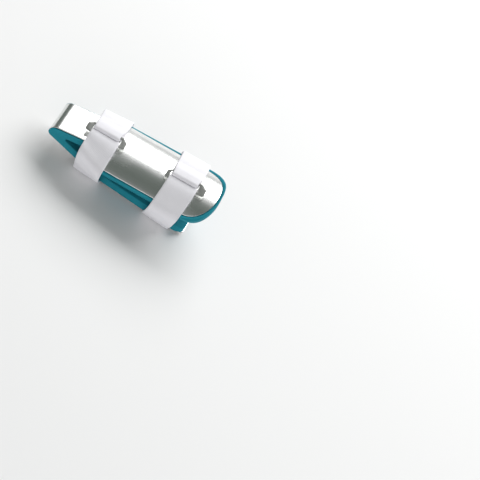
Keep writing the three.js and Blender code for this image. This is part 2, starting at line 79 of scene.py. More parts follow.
# Plan of the sheet
STRIP_WIDTH = 16.2
STRIP_CORNER_RADIUS = 2.0
TROUGH_WIDTH = 30.8
TROUGH_RADIUS = 27.0
WIDENING_X = (15.5, 29.0)
BENDING_X = (14.0, 24.0)
ROUND_END_REACH = 12.0
ROUND_END_FULLNESS = 2.3
LEAN_BACK_REACH = 3.0

# Foam lining
GLUE_GAP = 0.2
FOAM_APEX_RADIUS = 0.8
FOAM_SIDE_STRIP = 0.5
FOAM_LIP = 1.0
FOAM_LIP_SWELL = 0.5
FOAM_LIP_RISE = (0.04, 0.32)
FOAM_SWELL_RISE = (0.3, 1.3)
FOAM_OUTER_ROUND = 0.3
FOAM_SIDE_TROUGH = 1.8
FOAM_FLARE = 0.7
FOAM_FLARE_LENGTH = 12.0
FOAM_PAST_ROUND_END = 1.2
FOAM_SHORT_OF_STRIP_END = 0.6

# Fineness of the two sheets: steps along, columns across, and steps in from an edge in its radii
LEG_STEP = 0.8
FOLD_STEP = 0.3
FOLD_MARGIN = 1.5
METAL_COLUMNS = 37
METAL_EDGE_STEPS = (0.0, 0.076, 0.293, 0.617, 1.0, 1.7, 2.8, 4.4, 6.6)
FOAM_COLUMNS = 33
FOAM_EDGE_STEPS = (0.0, 0.076, 0.293, 0.617, 1.0, 1.5, 2.1, 2.8, 3.6, 4.6)
FOAM_WALL_SHARES = (0.2, 0.4, 0.6, 0.8)

# Straps
STRAP_CLEARANCE = 0.25
STRAP_LAYER_GAP = 0.15
STRAP_SIDE_BULGE = 1.0
SHOULDER_RADIUS = 4.0
BOTTOM_CORNER_RADIUS = 1.5
BOTTOM_CORNER_SETBACK = 0.5
TAIL_SHARE = 0.35
NEAR_RAMP_SHARE = 0.97
FREE_END_SHARE_OF_SIDE = 0.72
SHOULDER_ROOM = 0.95
LIP_PINCH = 0.10
LIP_PINCH_REACH = 4.0
STRAP_STEP = 0.22
STRAP_FLAT_COLUMNS = 21
STRAP_EDGE_SHARE = 0.84
SIDE_EASE = 1.3
EASE_ASIDE = (7.5, 10.5)
EASE_HEIGHT = (2.0, 6.0)
EDGE_CURL = 0.3
CURL_ASIDE = (6.0, 11.0)
CURL_BELOW_TOP = (7.0, 12.0)

# The last place on either half of the loop under a strap, a little short of the bottom centre
LAST_PLACE = 4.999

# The strap's fold round the far bar of its ring: it rises to the bar, passes under it, stands up in a lip,
# and comes down again on the layer below
RISE_REACH = 3.6
RISE_RADIUS = 2.5
UNDER_BAR_GAP = 0.05
UNDER_BAR_REACH = (0.4, 0.25)
UNDER_BAR_RADII = (1.5, 0.6)
LIP_HEIGHT = 3.9
LIP_REACH = 0.5
LIP_DEPTH = 1.05
LIP_RADII = (0.45, 0.52)
LIP_BACK_REACH = 0.2
LIP_BACK_DROP = 0.25
LIP_BACK_RADIUS = 4.0
LANDING_REACH = 5.2
LANDING_RADIUS = 5.0

# Where each strap lies: x on top, x below, how far its two edges spread over the trough, how far its ring
# has slipped along X and to the side, and how far the lip has slipped along X
STRAP_PLACES = {
    "strap_distal": {"top_x": WIDENING_X[1] - 7.0, "bottom_x": LOWER_KNEE_X - 5.5, "spreads": (0.5, 1.0),
                     "ring_slip": (0.0, -1.5), "lip_slip": -0.45},
    "strap_proximal": {"top_x": PLATE_LENGTH - 16.5, "bottom_x": LOWER_LEG_LENGTH - 13.2,
                       "spreads": (1.0, 1.0), "ring_slip": (0.9, -2.5), "lip_slip": -0.2},
}

# Rings
RING_END_BAR_WIDTH = 2.6
RING_SLOT_SIDE_ROOM = 0.12
RING_SLOT_WIDTH = 2.9
RING_BAR_WIDTH = 1.05
RING_NEAR_CUT = 0.5
RING_FAR_CUT = (2.4, 1.6)
RING_CORNER_RADIUS = 0.35
RING_FAR_CUT_RADII = (0.45, 0.6)
RING_SLOT_RADIUS = 0.4
RING_EDGE_ROUND = 0.16
RING_MATCHING_STOPS = (1, 4, 5, 8, 9, 12, 13, 16)
RING_RUN_STEPS = (8, 12, 8, 12, 16, 12, 8, 12, 8)
RING_CLEARANCE = 0.03
RING_FAR_BAR_LIFT = 1.0
TURN_INTO_SLOT = 0.3

# Stage, in metres: half the floor, the two dark cards, place, target and size of the softboxes, the camera
FLOOR_HALF = 1.6
CARDS = {
    "card_over": ((-1.2, -0.62, 1.3), (1.2, -0.62, 1.3), (1.2, 0.42, 1.3), (-1.2, 0.42, 1.3)),
    "card_side": ((-0.60, 0.90, 0.0), (-1.1, -0.2, 0.0), (-1.1, -0.2, 1.25), (-0.60, 0.90, 1.25)),
}
SOFTBOXES = {
    "softbox_back": ((0.32, 1.02, 0.92), (0.1, 0, 0.02), (1.75, 0.95)),
    "softbox_front": ((0.1, -1.1, 0.35), (0, 0, 0.02), (1.4, 0.6)),
}
CAMERA_LENS = 173.11
CAMERA_SENSOR = 36.0
CAMERA_CLIP = (0.05, 20.0)
CAMERA_PLACE = (-0.017844, -0.648911, 0.774526)
CAMERA_TURN = (0.90147533, 0.31968022, -0.13294436, 0.25975485)


# Settings shown in the panel

def length_setting(name, description, default_mm):
    return bpy.props.FloatProperty(
        name=name, description=description, default=default_mm * MM,
        min=0.0, precision=5, subtype="DISTANCE", unit="LENGTH")


def colour_setting(name, description, default):
    return bpy.props.FloatVectorProperty(
        name=name, description=description, default=default, size=3, min=0.0, max=1.0, subtype="COLOR")


def share_setting(name, description, default):
    return bpy.props.FloatProperty(
        name=name, description=description, default=default, min=0.0, max=1.0, subtype="FACTOR")


class SplintSizes(bpy.types.PropertyGroup):
    """Sizes of the splint"""
    sheet_thickness: length_setting("Sheet thickness", "Thickness of the sheet metal", 0.8)
    sheet_edge_round: length_setting("Sheet edge rounding", "Radius of the deburred edge of the metal", 0.22)
    foam_thickness: length_setting("Foam thickness", "Thickness of the foam lining", 3.2)
    foam_edge_round: length_setting("Foam edge rounding", "Radius of the cut edge of the foam", 0.55)
    strap_width: length_setting("Strap width", "Width of each strap", 13.5)
    strap_thickness: length_setting("Strap thickness", "Thickness of one layer of strap", 1.0)
    ring_thickness: length_setting("Ring thickness", "Thickness of the flat rings", 0.8)


class SplintColours(bpy.types.PropertyGroup):
    """Colours and finishes of the splint"""
    metal: colour_setting("Metal", "Colour of the bare sheet metal", (0.80, 0.81, 0.80))
    metal_roughness: share_setting("Metal roughness", "Roughness of the sheet metal", 0.24)
    foam: colour_setting("Foam", "Colour of the foam lining", (0.014, 0.245, 0.315))
    webbing: colour_setting("Webbing", "Colour of the straps", (0.86, 0.85, 0.89))
    ring: colour_setting("Ring", "Colour of the flat rings", (0.47, 0.475, 0.46))


class SplintStage(bpy.types.PropertyGroup):
    """Floor and light around the splint"""
    floor: colour_setting("Floor", "Colour of the floor", (0.83, 0.83, 0.83))
    sky: colour_setting("Surroundings", "Brightness of the room around the stage", (0.46, 0.46, 0.46))
    card: colour_setting("Dark cards", "Colour of the cards that the metal mirrors", (0.125, 0.145, 0.130))
    softbox_power: bpy.props.FloatProperty(
        name="Softbox power", description="Power of the large softbox behind the splint",
        default=27.0, min=0.0, unit="POWER")
    fill_power: bpy.props.FloatProperty(
        name="Fill power", description="Power of the low light in front of the splint",
        default=3.6, min=0.0, unit="POWER")


# Curves and profiles

def smooth(x, start, end):
    """0 before start, 1 after end, and 3t^2 - 2t^3 between them."""
    t = np.clip((x - start) / (end - start), 0.0, 1.0)
    return t * t * (3 - 2 * t)


def joined(*parts):
    """The parts side by side, as the last axis of one array."""
    return np.stack(parts, axis=-1)


def sampled(places, known, values):
    """Each column of values, known at some places on a line, read off at other places."""
    return np.stack([np.interp(places, known, column) for column in values.T], axis=-1)


class Profile:
    """A line of straight runs joined by tangent arcs, from corners given as (x, z, radius).

    Each run has a start, a heading, a length and a bend, which is 1/radius and 0 on a straight run.
    At a distance t along a run the point is the start plus a chord of t sin(q)/q with q = bend t / 2,
    in the direction heading + q. The outward normal is on the left of travel. Past either end the line
    runs on straight. A closed line starts and ends in the middle of one of its sides.
    """

    def __init__(self, corners):
        corners = np.array(corners, float)
        points, radii = corners[:, :2], corners[1:-1, 2]
        steps = np.diff(points, axis=0)
        headings = np.arctan2(steps[:, 1], steps[:, 0])
        turns = (np.diff(headings) + np.pi) % (2 * np.pi) - np.pi
        reach = np.r_[0.0, radii * np.tan(np.abs(turns) / 2), 0.0]
        straight = np.hypot(*steps.T) - reach[:-1] - reach[1:]
        self.lengths = np.zeros(2 * len(straight) - 1)
        self.bends = np.zeros_like(self.lengths)
        self.lengths[0::2] = straight
        self.lengths[1::2] = np.abs(turns) * radii
        self.bends[1::2] = np.sign(turns) / np.where(radii > 0, radii, 1.0)
        self.headings = np.repeat(headings, 2)[:-1]
        units = steps / np.hypot(*steps.T)[:, None]
        self.starts = np.zeros((len(self.lengths), 2))
        self.starts[0::2] = points[:-1] + units * reach[:-1, None]
        self.starts[1::2] = points[1:-1] - units[:-1] * reach[1:-1, None]
        self.stops = np.r_[0.0, np.cumsum(self.lengths)]
        self.length = self.stops[-1]

    def at(self, s):
        i = np.clip(np.searchsorted(self.stops[1:], s), 0, len(self.lengths) - 1)
        t = s - self.stops[i]
        turn = self.bends[i] * t
        chord = t * np.sinc(turn / (2 * np.pi))
        middle = self.headings[i] + turn / 2
        heading = self.headings[i] + turn
        x = self.starts[i, 0] + chord * np.cos(middle)
        z = self.starts[i, 1] + chord * np.sin(middle)
        return x, z, -np.sin(heading), np.cos(heading)


def foam_inner_corners(depth):
    """Both legs of the outer profile moved inward by a depth, and met in one small arc inside the fold."""
    outer = np.array(OUTER_CORNERS)[:, :2]

    def moved(i):
        along = outer[i + 1] - outer[i]
        along = along / np.hypot(*along)
        inward = np.array([along[1], -along[0]]) * depth
        return outer[i] + inward, outer[i + 1] + inward, along

    def meet(a, b):
        gap = b[0] - a[0]
        share = (gap[0] * b[2][1] - gap[1] * b[2][0]) / (a[2][0] * b[2][1] - a[2][1] * b[2][0])
        return a[0] + a[2] * share

    lower_flat, lower_slope, upper_slope, upper_flat = (moved(i) for i in (0, 1, 3, 4))
    return (
        (*lower_flat[0], 0.0),
        (*meet(lower_flat, lower_slope), OUTER_CORNERS[1][2] + depth),
        (*meet(lower_slope, upper_slope), FOAM_APEX_RADIUS),
        (*meet(upper_slope, upper_flat), OUTER_CORNERS[4][2] - depth),
        (*upper_flat[1], 0.0),
    )


OUTER = Profile(OUTER_CORNERS)


def cross_shape(s):
    """Half the flat width, how far the strip has widened, and the bend across, along the outer profile."""
    x = OUTER.at(s)[0]
    upper = s > OUTER.stops[UPPER_FIRST_RUN]
    widening = upper * smooth(x, *WIDENING_X)
    bending = upper * smooth(x, *BENDING_X)
    half_width = (STRIP_WIDTH + widening * (TROUGH_WIDTH - STRIP_WIDTH)) / 2
    return half_width, widening, np.maximum(bending, 1e-4) / TROUGH_RADIUS


def sheet_point(place, curvature, angle, move_in, radius_less):
    """A place on a side profile moved inward, then turned across by an angle round the bend's axis.

    With R = 1/curvature - radius_less, the point lies R (1 - cos angle) + move_in below the profile along
    its normal and R sin angle to the side.
    """
    x, z, nx, nz = place
    radius = 1 / curvature - radius_less
    sink = radius * (1 - np.cos(angle)) + move_in
    return joined(x - nx * sink, radius * np.sin(angle), z - nz * sink)


def lean_back(row, share, start, end):
    """Rows near an end lean back with its outline: round corners below and a half superellipse above."""
    past = np.maximum(0, np.abs(share) * STRIP_WIDTH / 2 - (STRIP_WIDTH / 2 - STRIP_CORNER_RADIUS))
    lower = STRIP_CORNER_RADIUS - np.sqrt(np.maximum(0, STRIP_CORNER_RADIUS ** 2 - past ** 2))
    left = np.maximum(0, 1 - np.abs(share) ** ROUND_END_FULLNESS)
    upper = ROUND_END_REACH * (1 - left ** (1 / ROUND_END_FULLNESS))
    near_lower = np.maximum(0, 1 - (row - start) / (LEAN_BACK_REACH * STRIP_CORNER_RADIUS))
    near_open = np.maximum(0, 1 - (end - row) / (LEAN_BACK_REACH * ROUND_END_REACH))
    return row + near_lower * lower - near_open * upper


def room_to_edge(s, across, half_width, start, end):
    """Distance from a point of the flat sheet to its outline, positive inside.

    The lower end is a rectangle with round corners. The open end is a superellipse g = 1, whose distance
    is close to (1 - g) divided by the length of the slope of g.
    """
    n = ROUND_END_FULLNESS
    along = STRIP_CORNER_RADIUS - (s - start)
    aside = np.abs(across) - (half_width - STRIP_CORNER_RADIUS)
    outside = np.hypot(np.maximum(along, 0), np.maximum(aside, 0))
    lower = STRIP_CORNER_RADIUS - outside - np.minimum(np.maximum(along, aside), 0)
    q = np.maximum(0, s - (end - ROUND_END_REACH)) / ROUND_END_REACH
    v = np.abs(across) / half_width
    g = np.maximum((q ** n + v ** n) ** (1 / n), 1e-6)
    slope = np.hypot((q / g) ** (n - 1) / ROUND_END_REACH, (v / g) ** (n - 1) / half_width)
    return np.minimum(lower, (1 - g) / np.maximum(slope, 1e-6))


def graded(count, edge_steps, half):
    """Shares from -1 to 1: fixed small steps in from both edges, and even steps between them."""
    edge = edge_steps / half
    middle = np.linspace(-1 + edge[-1], 1 - edge[-1], count)
    return np.r_[-1 + edge[:-1], middle, 1 - edge[:-1][::-1]]


def rows_along(start, end, edge):
    """Distances along the profile: fine at both ends and round the fold, even on the legs."""
    fold = OUTER.stops[FOLD_FIRST_RUN] - FOLD_MARGIN, OUTER.stops[UPPER_FIRST_RUN] + FOLD_MARGIN
    lower = np.linspace(start + edge[-1], fold[0], int((fold[0] - start) / LEG_STEP))
    bend = np.linspace(fold[0], fold[1], int((fold[1] - fold[0]) / FOLD_STEP))
    upper = np.linspace(fold[1], end - edge[-1], int((end - fold[1]) / LEG_STEP))
    return np.r_[start + edge[:-1], lower[:-1], bend[:-1], upper, end - edge[:-1][::-1]]


def sheet_grid(start, end, edge_steps, columns, half):
    """Distances along the profile and shares of the half width at the points of a sheet's grid."""
    shares = graded(columns, edge_steps, half)
    row, share = np.meshgrid(rows_along(start, end, edge_steps), shares, indexing="ij")
    return lean_back(row, share, start, end), share


def rounding(room, radius):
    """Depth of a quarter round along an edge: r - sqrt(r^2 - (r - room)^2) within r of the edge, else 0."""
    into = np.clip(radius - room, 0, radius)
    return radius - np.sqrt(radius ** 2 - into ** 2)


# Meshes

def grid_faces(rows, columns, first=0, closed=False):
    """Quads of a grid of points numbered row by row, joined round on itself along its columns if closed."""
    i = np.arange(rows - 1)[:, None] * columns
    j = np.arange(columns if closed else columns - 1)[None, :]
    k = (j + 1) % columns
    return (first + joined(i + j, i + k, i + columns + k, i + columns + j)).reshape(-1, 4)


def rim(rows, columns):
    """Numbers of the outermost points of a grid, in order round it."""
    number = np.arange(rows * columns).reshape(rows, columns)
    return np.r_[number[0, :-1], number[:-1, -1], number[-1, :0:-1], number[:0:-1, 0]]


def shell(front, back, walls, front_flat, back_flat):
    """Closed solid: two grids of the same size, and a wall between their rims through the given rings."""
    rows, columns = front.shape[:2]
    count = rows * columns
    edge = rim(rows, columns)
    points = np.concatenate([front.reshape(-1, 3), back.reshape(-1, 3), *walls])
    flat_walls = [front_flat.reshape(-1, 3)[edge]] * len(walls)
    flat = np.concatenate([front_flat.reshape(-1, 3), back_flat.reshape(-1, 3), *flat_walls])
    wall_rings = [2 * count + i * len(edge) + np.arange(len(edge)) for i in range(len(walls))]
    rings = [edge, *wall_rings, count + edge]
    faces = [grid_faces(rows, columns), grid_faces(rows, columns, count)[:, ::-1]]
    for near, far in zip(rings[:-1], rings[1:]):
        faces.append(joined(np.roll(near, -1), near, far, np.roll(far, -1)))
    return points, np.concatenate(faces), flat


def work_origin():
    """The point of the frame, in mm, where the work coordinates have their zero."""
    low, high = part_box("splint_plate")
    return np.array([low[0], (low[1] + high[1]) / 2, low[2]]) / MM


def signed_volume(points, faces):
    """Sum over the faces, cut into triangles, of a . (b x c) / 6; it is negative if they point inward."""
    a, b, c, d = (points[faces[:, k]] for k in range(4))
    return (np.einsum("ij,ij->", a, np.cross(b, c)) + np.einsum("ij,ij->", a, np.cross(c, d))) / 6


def placed(name, data):
    """A new object in the scene."""
    made = bpy.data.objects.new(name, data)
    bpy.context.scene.collection.objects.link(made)
    return made


def make_piece(node, points, faces, flat, finish, slot_name):
    """A smooth mesh in the frame's metres, riding on the root and standing for a CAD node."""
    points = (points + work_origin()) * MM
    if signed_volume(points, faces) < 0:
        faces = faces[:, ::-1]
    mesh = bpy.data.meshes.new(node + "_look")
    mesh.vertices.add(len(points))
    mesh.vertices.foreach_set("co", points.astype(np.float32).ravel())
    mesh.loops.add(faces.size)
    mesh.loops.foreach_set("vertex_index", faces.astype(np.int32).ravel())
    mesh.polygons.add(len(faces))
    mesh.polygons.foreach_set("loop_start", np.arange(0, faces.size, 4, dtype=np.int32))
    mesh.update(calc_edges=True)
    mesh.validate()
    mesh.polygons.foreach_set("use_smooth", np.ones(len(mesh.polygons), bool))
    layer = mesh.attributes.new("flat", "FLOAT_VECTOR", "POINT")
    layer.data.foreach_set("vector", flat.astype(np.float32).ravel())
    mesh.materials.append(finish)
    made = placed(node + "_look", mesh)
    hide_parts(node)
    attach(made, "root")
    return made


# Shapes of the sheet metal and the foam

def plate_surface(thickness, edge_round):
    """The bent sheet as a function of distance along the profile and share of the half width.

    The outer face sinks by the edge rounding near the outline, and the inner face lies a thickness deeper
    and rises by the same rounding.
    """
    edge_steps = edge_round * np.array(METAL_EDGE_STEPS)
    s, share = sheet_grid(0.0, OUTER.length, edge_steps, METAL_COLUMNS, TROUGH_WIDTH / 2)
    half_width, _, curvature = cross_shape(s)
    across = share * half_width
    sunk = rounding(room_to_edge(s, across, half_width, 0.0, OUTER.length), edge_round)
    place = OUTER.at(s)
    front = sheet_point(place, curvature, across * curvature, sunk, sunk)
    deep = thickness - sunk
    back = sheet_point(place, curvature, across * curvature, deep, deep)
    front_flat = joined(s, across, sunk)
    back_flat = joined(s, across, deep)
    return shell(front, back, [], front_flat, back_flat)


def foam_surface(sheet_thickness, thickness, edge_round):
    """The lining, between a glued face that follows the metal and a free face on its own inner profile.

    Each point lies a share of the way from the glued face to the free one. The share starts below zero
    past the metal's edge, where the foam stands up beside it, and both faces round off at the outline.
    """
    glued = sheet_thickness + GLUE_GAP
    free = glued + thickness
    inner = Profile(foam_inner_corners(free))
    start, end = FOAM_SHORT_OF_STRIP_END, OUTER.length + FOAM_PAST_ROUND_END
    edge_steps = edge_round * np.array(FOAM_EDGE_STEPS)
    s, share = sheet_grid(start, end, edge_steps, FOAM_COLUMNS, TROUGH_WIDTH / 2 + FOAM_SIDE_TROUGH)
    metal_half, widening, curvature = cross_shape(s)
    side = FOAM_SIDE_STRIP + widening * (FOAM_SIDE_TROUGH - FOAM_SIDE_STRIP)
    half_width = metal_half + side + FOAM_FLARE * smooth(s, end - FOAM_FLARE_LENGTH, end)
    across = share * half_width
    angle = across * curvature
    outer_stops = OUTER.stops[[0, FOLD_FIRST_RUN, UPPER_FIRST_RUN, -1]]
    inner_stops = inner.stops[[0, APEX_RUN, APEX_RUN + 1, -1]]
    beyond = np.maximum(0, s - OUTER.length)
    matching = np.interp(s, outer_stops, inner_stops) + beyond
    near = sheet_point(OUTER.at(s), curvature, angle, glued, glued)
    far = sheet_point(inner.at(matching), curvature, angle, 0.0, free)
    depth = np.linalg.norm(far - near, axis=-1)
    room = room_to_edge(s, across, half_width, start, end)
    past_metal = -room_to_edge(s, across, metal_half, 0.0, OUTER.length)
    past_corner = smooth(s, STRIP_CORNER_RADIUS, 2 * STRIP_CORNER_RADIUS)
    lip = FOAM_LIP * smooth(past_metal, *FOAM_LIP_RISE) * past_corner
    lip += FOAM_LIP_SWELL * smooth(past_metal, *FOAM_SWELL_RISE) * widening
    front_share = (rounding(room, FOAM_OUTER_ROUND) - lip) / depth
    back_share = 1 - rounding(room, edge_round) / depth
    front = near + (far - near) * front_share[..., None]
    back = near + (far - near) * back_share[..., None]
    edge = rim(*front.shape[:2])
    front_rim, back_rim = front.reshape(-1, 3)[edge], back.reshape(-1, 3)[edge]
    walls = [front_rim + (back_rim - front_rim) * share for share in FOAM_WALL_SHARES]
    front_flat = joined(s, across, front_share * depth)
    back_flat = joined(s, across, back_share * depth)
    return shell(front, back, walls, front_flat, back_flat)


# Shapes of the straps

def upper_height(x):
    """Height of the outer face of the upper leg over a place along X, read off the profile."""
    s = np.linspace(OUTER.stops[UPPER_FIRST_RUN], OUTER.length, 4001)
    px, pz = OUTER.at(s)[:2]
    return np.interp(x, px, pz)


def strap_edges(place, sizes):
    """Loop shapes under the two edges of a strap: top height, top radius and half width of each.

    Both tops are raised alike until the straight line between them clears the bend of the plate.
    """
    top_x = place["top_x"]
    glued = sizes["sheet"] + GLUE_GAP
    foam_angle = (TROUGH_WIDTH / 2 + FOAM_SIDE_TROUGH) / TROUGH_RADIUS
    trough_half = (TROUGH_RADIUS - glued) * np.sin(foam_angle) + SHOULDER_ROOM
    strip_half = STRIP_WIDTH / 2 + FOAM_SIDE_STRIP
    spreads = np.array(place["spreads"])
    x = top_x + np.array([-0.5, 0.5]) * sizes["width"]
    radius = TROUGH_RADIUS / spreads
    crest = (1 - smooth(x, *BENDING_X)) * (STRIP_WIDTH / 2) ** 2 / (2 * radius)
    tops = upper_height(x) + crest
    share = np.linspace(0, 1, 9)
    line = tops[0] + share * (tops[1] - tops[0])
    lift = max(0.0, np.max(upper_height(top_x + (share - 0.5) * sizes["width"]) - line))
    halves = strip_half + spreads * (trough_half - strip_half)
    return [(tops[k] + lift, radius[k], halves[k]) for k in range(2)]


class Wrap:
    """Half of the loop that a strap hugs, in the plane across the splint, from top centre to bottom centre.

    A place is a run and a share of it: 0 the top arc, 1 the shoulder arc, 2 the straight side, 3 the bottom
    corner arc and 4 the flat bottom. Its sign is its side. A standoff moves it out along the normal.
    """

    def __init__(self, edge):
        self.top_height, self.top_radius, half_width = edge
        self.top_centre = np.array([0.0, self.top_height - self.top_radius])
        away = self.top_radius - SHOULDER_RADIUS
        self.top_angle = np.arcsin((half_width - SHOULDER_RADIUS) / away)
        self.shoulder = self.top_centre + away * np.array([np.sin(self.top_angle), np.cos(self.top_angle)])
        self.corner = np.array([STRIP_WIDTH / 2 - BOTTOM_CORNER_SETBACK, BOTTOM_CORNER_RADIUS])
        gap = self.shoulder - self.corner
        lean = np.arctan2(gap[0], gap[1])
        closing = np.arcsin((SHOULDER_RADIUS - BOTTOM_CORNER_RADIUS) / np.hypot(*gap))
        self.side_angle = np.pi / 2 + lean - closing
        self.top_arc = self.top_angle * self.top_radius

    def arc(self, centre, radius, start, stop, share, standoff):
        angle = start + (stop - start) * share
        reach = radius + standoff
        return joined(centre[0] + reach * np.sin(angle), centre[1] + reach * np.cos(angle))

    def at(self, place, standoff):
        side = np.where(place < 0, -1.0, 1.0)
        run = np.minimum(4, np.floor(np.abs(place))).astype(int)
        share = np.abs(place) - run
        bulge = np.where(run == 2, STRAP_SIDE_BULGE * np.sin(np.pi * share) ** 2, 0.0)
        off = standoff + bulge
        top = self.arc(self.top_centre, self.top_radius, 0, self.top_angle, share, off)
        shoulder = (self.shoulder, SHOULDER_RADIUS, self.top_angle, self.side_angle)
        corner = (self.corner, BOTTOM_CORNER_RADIUS, self.side_angle, np.pi)
        side_start, side_end = self.arc(*shoulder, 1.0, off), self.arc(*corner, 0.0, off)
        flat_start = self.arc(*corner, 1.0, off)
        flat_end = joined(0 * off, -off)
        t = share[:, None]
        runs = np.stack([
            top,
            self.arc(*shoulder, share, off),
            side_start + (side_end - side_start) * t,
            self.arc(*corner, share, off),
            flat_start + (flat_end - flat_start) * t,
        ])
        point = runs[run, np.arange(len(run))]
        return point * joined(side, np.ones_like(side))


def layer_heights(sizes):
    """Heights of the middles of the strap layers and of the ring over the surface that the strap hugs."""
    low = STRAP_CLEARANCE + sizes["thickness"] / 2
    second = low + sizes["thickness"] + STRAP_LAYER_GAP
    ring = STRAP_CLEARANCE + sizes["thickness"] + RING_CLEARANCE + sizes["ring"] / 2
    return low, second, ring, ring + RING_FAR_BAR_LIFT


def strap_line(top_arc, slip, sizes):
    """Middle line of a strap as places on the loop and heights over it, in two columns.

    It starts at the tail of the fixed end, turns round the near bar and goes once round the splint by the
    -Y side. Then it comes up through the slot, folds back over the far bar in a lip that stands over the
    near turn, and ends down the +Y side.
    """
    low, second, ring, far_ring = layer_heights(sizes)
    radius = ring - low
    near_turn = slip - RING_SLOT_WIDTH / 2 - TURN_INTO_SLOT
    near_over = near_turn - RING_BAR_WIDTH
    tail_end = near_over - TAIL_SHARE * (top_arc + near_over)
    ramp_end = near_over - NEAR_RAMP_SHARE * (top_arc + near_over)
    bar = slip + RING_SLOT_WIDTH / 2, slip + RING_SLOT_WIDTH / 2 + RING_BAR_WIDTH
    under_bar = far_ring - sizes["ring"] / 2 - sizes["thickness"] / 2 - UNDER_BAR_GAP
    angle = np.linspace(-np.pi / 2, np.pi / 2, 25)

    def ramp(start, end, low_height, high_height, count):
        share = np.linspace(0, 1, count)
        height = low_height + (high_height - low_height) * smooth(share, 0, 1)
        return joined(start + (end - start) * share, height)

    def on_top(*parts):
        return np.concatenate(parts) / [top_arc, 1.0]

    start = on_top(
        ramp(tail_end, near_turn, low, low, 14),
        joined(near_turn + radius * np.cos(angle), ring + radius * np.sin(angle)),
        ramp(near_over, ramp_end, ring + radius, low, 40),
        ramp(ramp_end, -top_arc, low, low, 3),
    )
    half = np.r_[np.linspace(1, 2, 17), np.linspace(2, 3, 25)[1:], np.linspace(3, 4, 13)[1:],
                 np.linspace(4, LAST_PLACE, 14)[1:]]
    places = np.r_[-half, half[::-1]]
    around = joined(places, np.full(len(places), low))
    fold = Profile((
        (top_arc, low, 0.0),
        (bar[1] + RISE_REACH, low, RISE_RADIUS),
        (bar[1] + UNDER_BAR_REACH[0], under_bar, UNDER_BAR_RADII[0]),
        (bar[0] - UNDER_BAR_REACH[1], under_bar, UNDER_BAR_RADII[1]),
        (slip - LIP_REACH, LIP_HEIGHT - LIP_DEPTH, LIP_RADII[0]),
        (slip - LIP_REACH, LIP_HEIGHT, LIP_RADII[1]),
        (bar[1] + LIP_BACK_REACH, LIP_HEIGHT - LIP_BACK_DROP, LIP_BACK_RADIUS),
        (bar[1] + LANDING_REACH, second, LANDING_RADIUS),
        (top_arc, second, 0.0),
    ))
    across, height = fold.at(np.linspace(0, fold.length, 150))[:2]
    back = joined(across / top_arc, height)
    free = np.r_[np.linspace(1, 2, 17)[1:], np.linspace(2, 2 + FREE_END_SHARE_OF_SIDE, 21)[1:]]
    line = np.concatenate([start, around, back, joined(free, np.full(len(free), second))])
    moved = np.r_[True, np.abs(np.diff(line, axis=0)).max(axis=1) > 1e-4]
    return line[moved]


def eased(points, step, reach, weight):
    """Evenly spaced points, each moved by its weight toward a mean of its neighbours.

    The mean is weighted by a bell, exp(-(distance/reach)^2 / 2).
    """
    count = int(3 * reach / step)
    bell = np.exp(-0.5 * (np.arange(-count, count + 1) * step / reach) ** 2)
    bell /= bell.sum()
    padded = np.concatenate([np.repeat(points[:1], count, 0), points, np.repeat(points[-1:], count, 0)])
    smoothed = np.stack([np.convolve(padded[:, k], bell, "valid") for k in range(points.shape[1])], axis=-1)
    return points + (smoothed - points) * weight[:, None]


